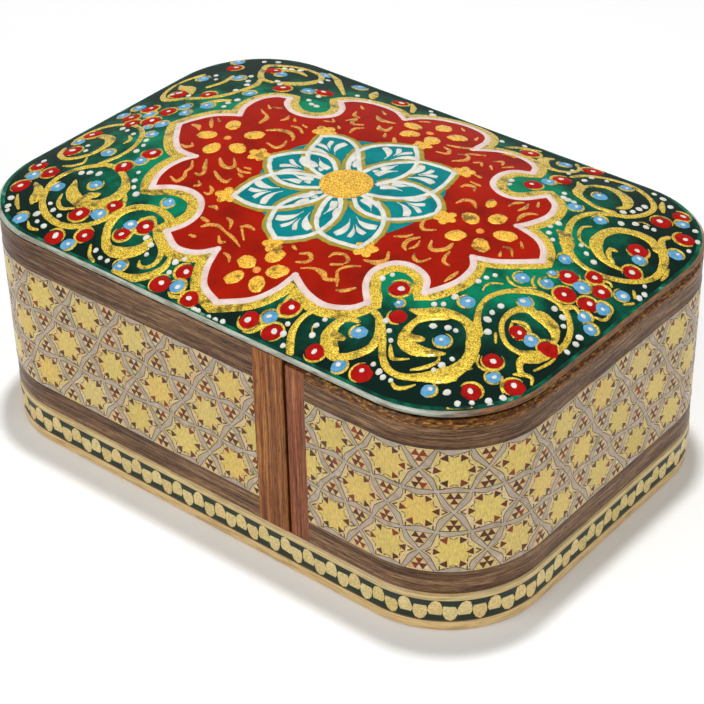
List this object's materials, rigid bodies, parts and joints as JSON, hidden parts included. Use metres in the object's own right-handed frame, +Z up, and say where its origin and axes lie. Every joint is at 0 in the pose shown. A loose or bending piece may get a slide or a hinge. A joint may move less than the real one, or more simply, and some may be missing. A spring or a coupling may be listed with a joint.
{
  "type": "inlaid jewellery box",
  "caption": "Small rounded jewellery box with star-inlaid walls, a painted lacquered lid and a drawer that wraps round one end.",
  "frame": {"origin": "middle of the underside, on the surface the box stands on", "axes": "+X along the long side towards the end that pulls out, -Y the front, +Z up"},
  "size_m": [0.1202, 0.0832, 0.0536],
  "materials": {
    "base_felt": "pressed felt, matt",
    "base_wood": "plain sanded board",
    "foot_strip": "orange-stained strip under clear varnish",
    "plinth_inlay": "dark inlay band with pale beads, satin varnish",
    "ledge_strip": "pale banding with fine lines, satin varnish",
    "brass_pin": "plain turned pin",
    "carcass_wood": "stained softwood, satin",
    "khatam_inlay": "star inlay of wood and bone under satin varnish",
    "walnut_rail": "walnut veneer, grain along the rail, satin",
    "walnut_stile": "walnut veneer, upright grain, satin",
    "lid_edging": "pale greyish edge under thick clear lacquer",
    "painted_lacquer": "hand-painted ornament under glossy clear lacquer",
    "tray_wood": "thin bent wood, satin",
    "velvet": "short-pile velvet lining"
  },
  "bodies": {
    "case": {"base_felt": "base_felt", "base_board": "base_wood", "plinth_foot_strip": "foot_strip", "plinth_dark_band": "plinth_inlay", "plinth_ledge_strip": "ledge_strip", "stop_pin": "brass_pin", "case_shell": "carcass_wood", "case_inlay_panel": "khatam_inlay", "case_bottom_rail": "walnut_rail", "case_top_rail": "walnut_rail", "case_front_stile": "walnut_stile", "case_back_stile": "walnut_stile", "front_kicker_strip": "carcass_wood", "back_kicker_strip": "carcass_wood", "lid_underboard": "carcass_wood", "lid_board": "lid_edging", "lid_panel": "painted_lacquer"},
    "drawer": {"drawer_shell": "carcass_wood", "drawer_inlay_panel": "khatam_inlay", "drawer_bottom_rail": "walnut_rail", "drawer_top_rail": "walnut_rail", "drawer_front_stile": "walnut_stile", "drawer_back_stile": "walnut_stile", "tray_floor": "tray_wood", "tray_front_side": "tray_wood", "tray_back_side": "tray_wood", "tray_rear_bend": "tray_wood", "tray_nose_bend": "tray_wood", "tray_floor_velvet": "velvet", "tray_wall_velvet": "velvet"}
  },
  "joints": [
    {"name": "drawer_slide", "type": "slide", "parent": "case", "child": "drawer", "axis": [1, 0, 0], "range_m": [0, 0.058]}
  ]
}
